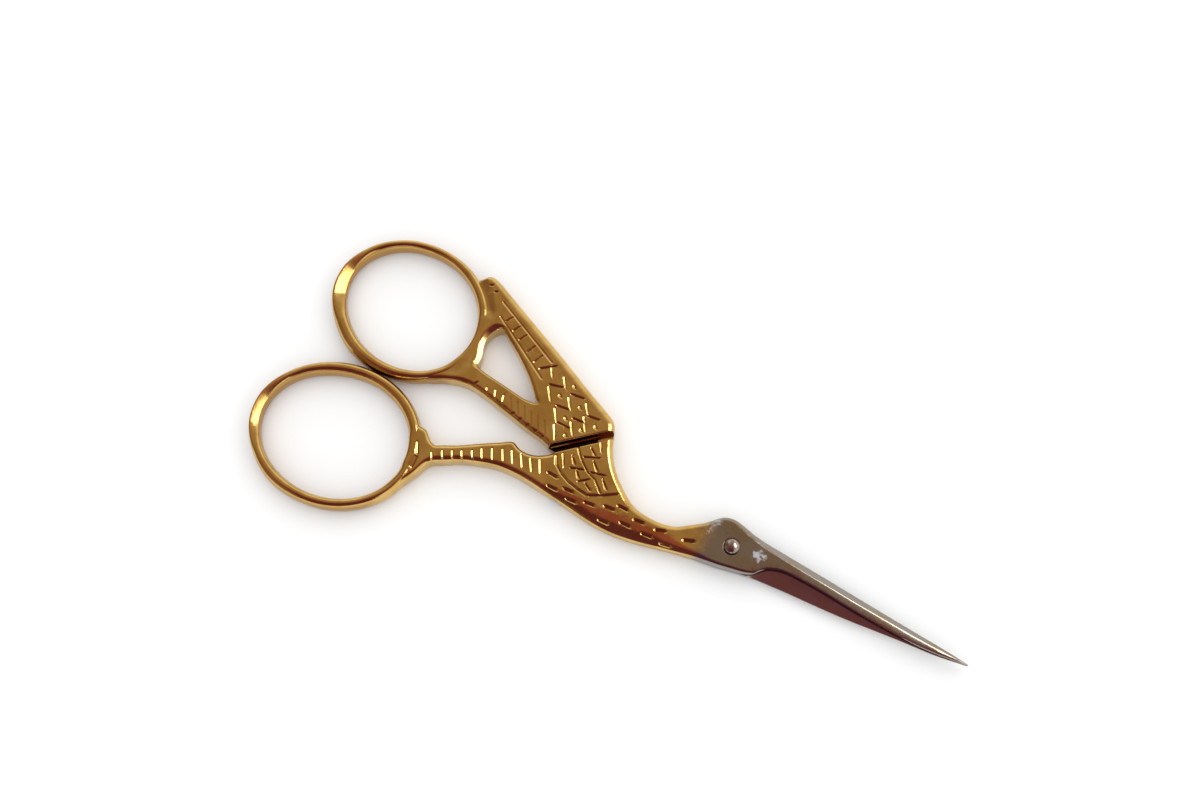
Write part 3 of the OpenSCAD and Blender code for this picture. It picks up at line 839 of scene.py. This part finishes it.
def screw_profile():
    """Radius and height, from the middle of the slotted head to the top of the dome."""
    rows = [(0, HEAD_LOW), (1.0, HEAD_LOW), (SCREW_HEAD_R - 0.22, HEAD_LOW + BULGE)]
    for t in np.radians((20, 45, 70, 90)):
        r, z = SCREW_HEAD_R - RIM_R * (1 - math.sin(t)), HEAD_LOW + BULGE + RIM_R * (1 - math.cos(t))
        rows.append((r, z))
    rows += [(SCREW_HEAD_R, HEAD_TOP), (SHANK_R, HEAD_TOP), (SHANK_R, SHOULDER - 0.05),
             (SHANK_R - 0.05, SHOULDER), (SCREW_THREAD_R, SHOULDER)]
    z = SHOULDER + PITCH / 2
    while z < DOME_Z - 0.25:
        rows += [(SCREW_THREAD_R - THREAD_DEPTH, z), (SCREW_THREAD_R, z + PITCH / 2)]
        z += PITCH
    rows += [(SCREW_THREAD_R, DOME_Z), (DOME_R - 0.04, DOME_Z), (DOME_R, DOME_Z + DOME_LIP)]
    for t in np.linspace(0.08, 1, 12)[:-1] * math.pi / 2:
        rows.append((DOME_R * math.cos(t) ** 0.9, DOME_Z + DOME_LIP + (DOME_H - DOME_LIP) * math.sin(t)))
    return rows + [(0, DOME_Z + DOME_H)]


def build_screw():
    rows = screw_profile()
    t = np.arange(SCREW_SIDES) * 2 * math.pi / SCREW_SIDES
    rng = np.random.default_rng(11)
    dents = [(rng.uniform(0, 6.3), rng.uniform(0.2, 0.9)) for _ in range(DENTS)]
    v, f = [(0, 0, rows[0][1])], []
    for r, z in rows[1:-1]:
        radius = np.full(SCREW_SIDES, r)
        if z > DOME_Z + 0.1:
            for turn, share in dents:
                near = np.exp(-(((t - turn + math.pi) % (2 * math.pi) - math.pi) / 0.35) ** 2)
                radius = radius - DENT_DEPTH * near * math.exp(-((r / DOME_R - share) / 0.2) ** 2)
        v += list(zip(radius * np.cos(t), radius * np.sin(t), np.full(SCREW_SIDES, z)))
    v.append((0, 0, rows[-1][1]))
    starts = [1 + i * SCREW_SIDES for i in range(len(rows) - 2)]
    for j in range(SCREW_SIDES):
        k = (j + 1) % SCREW_SIDES
        f.append((0, 1 + k, 1 + j))
        f += [(a + j, a + k, b + k, b + j) for a, b in zip(starts, starts[1:])]
        f.append((starts[-1] + j, starts[-1] + k, len(v) - 1))
    s = Shell()
    s.add(v, f)
    return slotted(s.mesh("pivot_screw_staked", sharp=SCREW_CREASE))


def slotted(screw):
    """The screw with its slot cut into the head."""
    c = Shell()
    x, y, z0, z1 = SCREW_HEAD_R + 1, SLOT_W / 2, HEAD_LOW - 1, HEAD_LOW + SLOT_DEPTH
    c.add([(a, b, d) for a in (-x, x) for b in (-y, y) for d in (z0, z1)],
          [(0, 1, 3, 2), (4, 6, 7, 5), (0, 4, 5, 1), (2, 3, 7, 6), (0, 2, 6, 4), (1, 5, 7, 3)])
    cutter = c.mesh("slot_cutter")
    mod = screw.modifiers.new("slot", "BOOLEAN")
    mod.operation, mod.object, mod.solver = "DIFFERENCE", cutter, "EXACT"
    done = bpy.data.meshes.new_from_object(screw.evaluated_get(bpy.context.evaluated_depsgraph_get()))
    screw.modifiers.clear()
    screw.data = done
    bpy.data.objects.remove(cutter)
    done.shade_smooth()
    done.set_sharp_from_angle(angle=math.radians(SCREW_CREASE))
    return screw


screw = build_screw()


# Shader sums

class Sum:
    """A number socket that can be used in a sum."""

    def __init__(self, paint, socket):
        self.paint, self.socket = paint, socket

    def do(self, operation, a, b):
        return self.paint.node("ShaderNodeMath", {"operation": operation}, {0: a, 1: b})

    def __add__(self, other):
        return self.do("ADD", self, other)

    def __radd__(self, other):
        return self.do("ADD", other, self)

    def __sub__(self, other):
        return self.do("SUBTRACT", self, other)

    def __rsub__(self, other):
        return self.do("SUBTRACT", other, self)

    def __mul__(self, other):
        return self.do("MULTIPLY", self, other)

    def __rmul__(self, other):
        return self.do("MULTIPLY", other, self)

    def over(self, low, high):
        """0 below low and 1 above high, with a soft step between. Turned round if low > high."""
        return self.paint.node(
            "ShaderNodeMapRange", {"interpolation_type": "SMOOTHSTEP"}, {0: self, 1: low, 2: high})


class Paint:
    """A node tree and the one way to add a node to it."""

    def __init__(self, tree):
        self.tree = tree
        tree.nodes.clear()

    def node(self, kind, settings, values, out=0):
        """A node of that kind. Its settings are set first, and then the values or links of its
        sockets. Gives its output of that number or name."""
        n = self.tree.nodes.new(kind)
        for k, x in settings.items():
            setattr(n, k, x)
        for k, x in values.items():
            if isinstance(x, Sum):
                self.tree.links.new(x.socket, n.inputs[k])
            elif n.inputs[k].type == "RGBA":
                n.inputs[k].default_value = (*x, 1)
            else:
                n.inputs[k].default_value = x
        return Sum(self, n.outputs[out]) if len(n.outputs) else None

    def mix(self, share, a, b):
        """A colour between a and b."""
        return self.node("ShaderNodeMix", {"data_type": "RGBA"}, {0: share, 6: a, 7: b}, out=2)

    def noise(self, place, scale, detail=3, rough=0.5):
        values = {"Vector": place, "Scale": scale, "Detail": detail, "Roughness": rough}
        return self.node("ShaderNodeTexNoise", {}, values)

    def vector(self, operation, a, b, out=0):
        return self.node("ShaderNodeVectorMath", {"operation": operation}, {0: a, 1: b}, out)

    def metal(self, colour, rough, height):
        """A metal surface with fine relief, its height in millimetres, put out as the result."""
        normal = self.node("ShaderNodeBump", {}, {"Strength": 1.0, "Distance": MM, "Height": height})
        values = {"Base Color": colour, "Metallic": 1.0, "Roughness": rough, "Normal": normal}
        shader = self.node("ShaderNodeBsdfPrincipled", {}, values)
        self.node("ShaderNodeOutputMaterial", {}, {0: shader})

    def part(self, vector, k):
        """The vector's x, y or z, for 0, 1 or 2."""
        return self.node("ShaderNodeSeparateXYZ", {}, {0: vector}, out=k)


def material(name):
    m = bpy.data.materials.new(name)
    m.use_nodes = True
    return m, Paint(m.node_tree)


def pivot_place(p):
    """The place on the surface in millimetres from the pivot."""
    at = p.node("ShaderNodeTexCoord", {}, {}, out="Object")
    moved = p.vector("SUBTRACT", at, tuple(PIVOT * MM))
    return p.node("ShaderNodeVectorMath", {"operation": "SCALE"}, {0: moved, "Scale": 1 / MM})


def spot(p, place, x, y, r):
    """1 at a spot on the plan and 0 beyond its radius."""
    flat = p.vector("MULTIPLY", place, (1.0, 1.0, 0.0))
    return p.vector("DISTANCE", flat, (x, y, 0.0), out="Value").over(r, 0.0)


# The third colour is a brown painted into the grooves as painted shade
GOLD, DEEP_GOLD, GROOVE_SHADE_BROWN = (0.66, 0.44, 0.15), (0.55, 0.345, 0.105), (0.13, 0.045, 0.015)
# A darker gold painted on the rings' lower walls as painted shade, and near-black painted shade in the
# narrow gaps beside the steps
RING_WALL_SHADE_GOLD = (0.44, 0.245, 0.075)
GAP_SHADE_COLOUR = (0.02, 0.009, 0.005)
STEEL, BROWN_STEEL, WORN = (0.3, 0.275, 0.255), (0.29, 0.22, 0.13), (0.5, 0.6, 0.72)
SCREW_STEEL, SCREW_BROWN = (0.42, 0.37, 0.34), (0.26, 0.2, 0.18)
# The x at which all the gold is gone, and the x at which it is whole
GOLD_GONE, GOLD_WHOLE = -3.2, -6.0
# Places and radii of the brown tint at the eye, of the bluish specks and of the rubbed rings,
# with the strength of the specks and of the rubbing
TINT = (-1.5, 2.6, 3.0)
SPECKS = ((4.2, 0.6, 2.4, 0.34), (-4.0, 1.0, 1.6, 0.27), (-3.3, 2.3, 1.6, 0.27))
RUBBED = ((-75.1, -14.0, 7.0, 0.16), (-74.4, 11.5, 7.0, 0.16))
# How the grinding marks on the steel are drawn out across the blade
GRAIN = (5.0, 0.6, 0.6)


def spots(p, place, rows):
    """The sum of spots, each as strong as its row says."""
    total = 0.0
    for x, y, r, strength in rows:
        total = total + spot(p, place, x, y, r) * strength
    return total


def gilt_steel(name):
    """Gold plate to the neck, worn through to ground steel at the head and the blade."""
    m, p = material(name)
    place = pivot_place(p)
    x, z = p.part(place, 0), p.part(place, 2)
    cloudy = p.noise(place, 0.35, 4)
    fine = p.noise(place, 2.2, 3)
    groove = p.node("ShaderNodeAttribute", {"attribute_name": "groove"}, {}, out="Fac")
    gilt = (x + (cloudy - 0.5) * 5 + (fine - 0.5) * 1.6).over(GOLD_GONE, GOLD_WHOLE)
    gold = p.mix(cloudy.over(0.35, 0.7), GOLD, DEEP_GOLD)
    # Painted shade: the rings' lower walls are a darker gold
    gold = p.mix(x.over(-50.5, -52.5) * z.over(1.5, 0.7), gold, RING_WALL_SHADE_GOLD)
    # Painted shade: the grooves are darkened towards brown, more where they are deeper
    gold = p.mix(groove.over(0.3, 1.0) * 0.3, gold, GROOVE_SHADE_BROWN)
    # Painted shade: near black in the narrow gaps beside the steps
    gold = p.mix(groove.over(1.5, 2.5), gold, GAP_SHADE_COLOUR)
    tint = spot(p, place, *TINT) * fine.over(0.35, 0.6) * 0.8
    steel = p.mix(tint, p.mix(cloudy.over(0.4, 0.7) * 0.5, STEEL, BROWN_STEEL), BROWN_STEEL)
    specks = (p.noise(place, 1.3, 5, 0.7) + spots(p, place, SPECKS)).over(0.66, 0.88)
    steel = p.mix(specks * 0.8, steel, WORN)
    colour = p.mix(gilt, steel, gold)
    grain = p.noise(p.vector("MULTIPLY", place, GRAIN), 1.0, 2)
    rough = 0.1 + (1 - gilt) * 0.03 + (fine - 0.5) * 0.06 + specks * 0.3 + spots(p, place, RUBBED)
    height = (cloudy * 0.6 + fine * 0.1) * (0.03 + gilt * 0.045) + (1 - gilt) * grain * 0.001
    p.metal(colour, rough, height)
    return m


def screw_steel():
    m, p = material("staked_steel")
    fine = p.noise(pivot_place(p), 2.5, 4)
    colour = p.mix(fine.over(0.35, 0.65), SCREW_STEEL, SCREW_BROWN)
    p.metal(colour, 0.12 + fine * 0.15, fine * 0.03)
    return m


for piece, body, node, paint in (
    (front, "front", "front_half", gilt_steel("gilt_steel_front")),
    (back, "back", "back_half", gilt_steel("gilt_steel_back")),
    (screw, "front", "pivot_screw", screw_steel()),
):
    piece.data.materials.clear()
    piece.data.materials.append(paint)
    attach(piece, body)
    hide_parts(node)


# Floor, light and camera

# Where the camera looks from, in degrees and millimetres, and at what point on the plan
AZIMUTH, ELEVATION, DISTANCE = 27.9, 70.0, 219.9
AIM = (-28.7, 11.9)
MIDDLE = PIVOT + (*AIM, 0)
LENS = 42.0
# The picture's right and its upper side on the floor, and straight up
EAST = np.array((math.cos(math.radians(AZIMUTH)), math.sin(math.radians(AZIMUTH)), 0))
AWAY = np.array((-EAST[1], EAST[0], 0))
UP = np.array((0.0, 0.0, 1.0))
# Half the floor's side in metres, and its two whites
FLOOR, PAPER, PAPER_LIGHT = 2, (0.93, 0.93, 0.93), (0.95, 0.95, 0.95)
# What lights the scene evenly, and what metal mirrors instead: overhead, low down, to the left,
# and on the dark side towards the camera, from its top downwards
SKY = (1.1, 1.1, 1.1)
OVERHEAD, LOW_DOWN, LEFT = (0.46, 0.335, 0.215), (1.1, 1.07, 1.0), (0.3, 0.19, 0.12)
DARK_TOP, DARK_MIDDLE, DARK_LOW = (0.37, 0.13, 0.125), (0.37, 0.12, 0.12), (0.14, 0.035, 0.065)


def floor():
    me = bpy.data.meshes.new("floor")
    corners = [(-FLOOR, -FLOOR, 0), (FLOOR, -FLOOR, 0), (FLOOR, FLOOR, 0), (-FLOOR, FLOOR, 0)]
    me.from_pydata(corners, [], [(0, 1, 2, 3)])
    o = bpy.data.objects.new("floor", me)
    bpy.context.collection.objects.link(o)
    m, p = material("paper_white")
    place = p.node("ShaderNodeTexCoord", {}, {}, out="Object")
    colour = p.mix(p.noise(place, 40.0, 2), PAPER, PAPER_LIGHT)
    shader = p.node("ShaderNodeBsdfDiffuse", {}, {0: colour})
    p.node("ShaderNodeOutputMaterial", {}, {0: shader})
    me.materials.append(m)


def studio():
    """Soft white light all round. Metal mirrors a dim warm ceiling, a dark red-brown side
    towards the camera and a lighter horizon."""
    world = bpy.data.worlds.new("studio")
    bpy.context.scene.world = world
    world.use_nodes = True
    p = Paint(world.node_tree)
    way = p.node("ShaderNodeTexCoord", {}, {}, out="Generated")
    east, away, up = (
        p.vector("DOT_PRODUCT", way, tuple(axis), out="Value") for axis in (EAST, AWAY, UP))
    # The angle from straight up towards the camera
    lean = p.node("ShaderNodeMath", {"operation": "ARCTAN2"}, {0: 0.0 - away, 1: up})
    dark = lean.over(-0.22, -0.12) * lean.over(1.5, 1.3) * east.over(-0.75, -0.5) * east.over(0.5, 0.3)
    ceiling = p.mix(up.over(0.92, 0.45), OVERHEAD, LOW_DOWN)
    ceiling = p.mix(east.over(-0.25, -0.6), ceiling, LEFT)
    clothes = p.mix(lean.over(-0.1, 0.06), DARK_TOP, DARK_MIDDLE)
    clothes = p.mix(lean.over(0.03, 0.25), clothes, DARK_LOW)
    glossy = p.node("ShaderNodeLightPath", {}, {}, out="Is Glossy Ray")
    colour = p.mix(glossy, SKY, p.mix(dark, ceiling, clothes))
    shader = p.node("ShaderNodeBackground", {}, {0: colour, 1: 1.0})
    p.node("ShaderNodeOutputWorld", {}, {0: shader})


def lamp(name, way, far, size, radiance, colour):
    """A soft lamp that shines on the scissors from that way, in millimetres."""
    light = bpy.data.lights.new(name, "AREA")
    light.shape, light.size, light.size_y = "RECTANGLE", size[0] * MM, size[1] * MM
    light.energy = radiance * math.pi * size[0] * size[1] * MM * MM
    light.color = colour
    o = bpy.data.objects.new(name, light)
    way = way / np.linalg.norm(way)
    o.location = Vector((MIDDLE + way * far) * MM)
    o.rotation_euler = Vector(way).to_track_quat("Z", "Y").to_euler()
    bpy.context.collection.objects.link(o)
    return o


def camera():
    cam = bpy.data.objects.new("camera", bpy.data.cameras.new("camera"))
    cam.data.lens, cam.data.sensor_width = LENS, 36.0
    cam.data.clip_start = 0.01
    e = math.radians(ELEVATION)
    way = UP * math.sin(e) - AWAY * math.cos(e)
    cam.location = Vector((MIDDLE + way * DISTANCE) * MM)
    cam.rotation_euler = Vector(way).to_track_quat("Z", "Y").to_euler()
    bpy.context.collection.objects.link(cam)
    bpy.context.scene.camera = cam


floor()
studio()
# The window shows only in the metal, and the other lamp only in what it lights
window = lamp("window", EAST * 0.6 + AWAY * 0.13 + UP * 0.76, 420, (300, 150), 6.0, (1.0, 0.98, 0.94))
window.visible_diffuse = False
soft = lamp("soft", EAST * 0.3 + AWAY * 0.5 + UP * 0.8, 500, (500, 500), 0.26, (1.0, 1.0, 1.0))
soft.visible_glossy = False
camera()
bpy.context.scene.view_settings.view_transform = "Standard"
